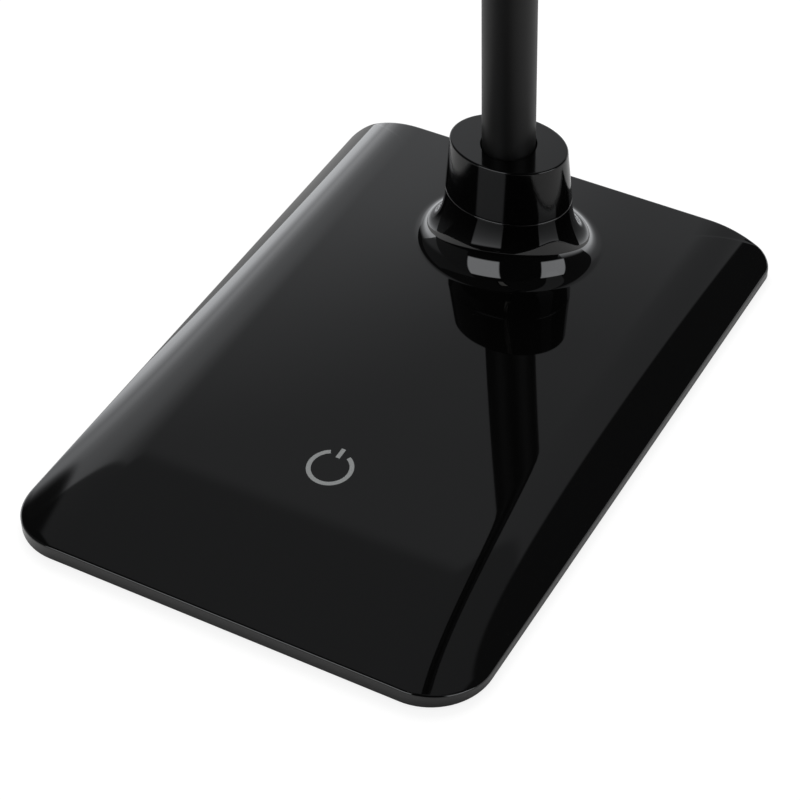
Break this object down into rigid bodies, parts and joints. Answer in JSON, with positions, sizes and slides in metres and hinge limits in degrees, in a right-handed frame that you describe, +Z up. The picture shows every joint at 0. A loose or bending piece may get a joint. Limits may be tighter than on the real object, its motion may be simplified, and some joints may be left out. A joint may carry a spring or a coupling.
{
  "type": "gooseneck desk lamp",
  "caption": "Desk lamp with a flat weighted base, touch power mark, oval neck collar, bendable sleeved gooseneck and slim LED head.",
  "frame": {"origin": "centre of the base's footprint, on the surface that the lamp stands on", "axes": "+Z up, -Y towards the user, +X to the right as the user sees it"},
  "size_m": [0.12, 0.2935, 0.3575],
  "materials": {
    "cover_gloss_black": "moulded, mirror gloss",
    "mark_print": "pad printed, satin",
    "plate_paint": "satin powder coat",
    "ballast_steel": "hot rolled, oiled",
    "fastener_steel": "zinc plated",
    "pad_rubber": "fine grain",
    "board_green": "solder mask",
    "electrode_copper": "rolled copper",
    "insulator_film": "clear amber film",
    "component_black": "moulded epoxy",
    "connector_white": "nylon",
    "inlet_steel": "nickel plated",
    "collar_gloss_black": "moulded, high gloss",
    "anchor_steel": "passivated",
    "neck_sleeve_black": "satin sleeve",
    "neck_core_steel": "wound spring wire",
    "lead_insulation": "smooth",
    "ferrule_black": "satin black",
    "head_gloss_black": "moulded, mirror gloss",
    "bezel_black": "fine texture",
    "diffuser_opal": "opal, frosted",
    "spreader_aluminium": "rolled",
    "led_board_white": "white solder mask",
    "led_phosphor": "silicone over phosphor"
  },
  "bodies": {
    "base": {"base_cover": "cover_gloss_black", "power_mark": "mark_print", "bottom_plate": "plate_paint", "ballast_plate": "ballast_steel", "ballast_rivets": "fastener_steel", "anti_slip_pad": "pad_rubber", "base_screws": "fastener_steel", "touch_board": "board_green", "touch_electrode": "electrode_copper", "board_insulator": "insulator_film", "control_board": "board_green", "board_components": "component_black", "lead_connector": "connector_white", "supply_inlet": "inlet_steel", "collar": "collar_gloss_black", "neck_anchor": "anchor_steel", "anchor_washer": "anchor_steel", "anchor_nut": "anchor_steel", "neck_root_sleeve": "neck_sleeve_black", "neck_root_core": "neck_core_steel", "neck_root_leads": "lead_insulation"},
    "neck_1": {"neck_sleeve_1": "neck_sleeve_black", "neck_core_1": "neck_core_steel", "neck_leads_1": "lead_insulation"},
    "neck_2": {"neck_sleeve_2": "neck_sleeve_black", "neck_core_2": "neck_core_steel", "neck_leads_2": "lead_insulation"},
    "neck_3": {"neck_sleeve_3": "neck_sleeve_black", "neck_core_3": "neck_core_steel", "neck_leads_3": "lead_insulation"},
    "neck_4": {"neck_sleeve_4": "neck_sleeve_black", "neck_core_4": "neck_core_steel", "neck_leads_4": "lead_insulation"},
    "neck_5": {"neck_sleeve_5": "neck_sleeve_black", "neck_core_5": "neck_core_steel", "neck_leads_5": "lead_insulation"},
    "neck_6": {"neck_sleeve_6": "neck_sleeve_black", "neck_core_6": "neck_core_steel", "neck_leads_6": "lead_insulation"},
    "neck_7": {"neck_sleeve_7": "neck_sleeve_black", "neck_core_7": "neck_core_steel", "neck_leads_7": "lead_insulation"},
    "neck_8": {"neck_sleeve_8": "neck_sleeve_black", "neck_core_8": "neck_core_steel", "neck_leads_8": "lead_insulation"},
    "head": {"neck_sleeve_9": "neck_sleeve_black", "neck_core_9": "neck_core_steel", "neck_leads_9": "lead_insulation", "head_ferrule": "ferrule_black", "head_housing": "head_gloss_black", "head_bezel": "bezel_black", "diffuser": "diffuser_opal", "heat_spreader": "spreader_aluminium", "led_board": "led_board_white", "leds": "led_phosphor", "led_connector": "connector_white", "led_board_screws": "fastener_steel", "bezel_screws": "fastener_steel"}
  },
  "joints": [
    {"name": "neck_nod_1", "type": "hinge", "parent": "base", "child": "neck_1", "pos_m": [0, 0.0545, 0.064], "axis": [1, 0, 0], "range_deg": [-20, 14]},
    {"name": "neck_sway_2", "type": "hinge", "parent": "neck_1", "child": "neck_2", "pos_m": [0, 0.0545, 0.104], "axis": [0, 1, 0], "range_deg": [-18, 18]},
    {"name": "neck_nod_3", "type": "hinge", "parent": "neck_2", "child": "neck_3", "pos_m": [0, 0.0545, 0.144], "axis": [1, 0, 0], "range_deg": [-20, 14]},
    {"name": "neck_sway_4", "type": "hinge", "parent": "neck_3", "child": "neck_4", "pos_m": [0, 0.0545, 0.184], "axis": [0, 1, 0], "range_deg": [-18, 18]},
    {"name": "neck_nod_5", "type": "hinge", "parent": "neck_4", "child": "neck_5", "pos_m": [0, 0.0545, 0.224], "axis": [1, 0, 0], "range_deg": [-20, 14]},
    {"name": "neck_sway_6", "type": "hinge", "parent": "neck_5", "child": "neck_6", "pos_m": [0, 0.0545, 0.264], "axis": [0, 1, 0], "range_deg": [-18, 18]},
    {"name": "neck_nod_7", "type": "hinge", "parent": "neck_6", "child": "neck_7", "pos_m": [0, 0.04571, 0.30265], "axis": [1, 0, 0], "range_deg": [-20, 14]},
    {"name": "neck_sway_8", "type": "hinge", "parent": "neck_7", "child": "neck_8", "pos_m": [0, 0.02036, 0.33311], "axis": [0, 0.5983, 0.8013], "range_deg": [-18, 18]},
    {"name": "neck_nod_9", "type": "hinge", "parent": "neck_8", "child": "head", "pos_m": [0, -0.01605, 0.34876], "axis": [1, 0, 0], "range_deg": [-20, 14]}
  ],
  "couplings": [
    {"joint": "neck_nod_3", "follows": "neck_nod_1", "ratio": 1},
    {"joint": "neck_sway_4", "follows": "neck_sway_2", "ratio": 1},
    {"joint": "neck_nod_7", "follows": "neck_nod_5", "ratio": 1},
    {"joint": "neck_nod_9", "follows": "neck_nod_5", "ratio": 1},
    {"joint": "neck_sway_8", "follows": "neck_sway_6", "ratio": 1}
  ]
}
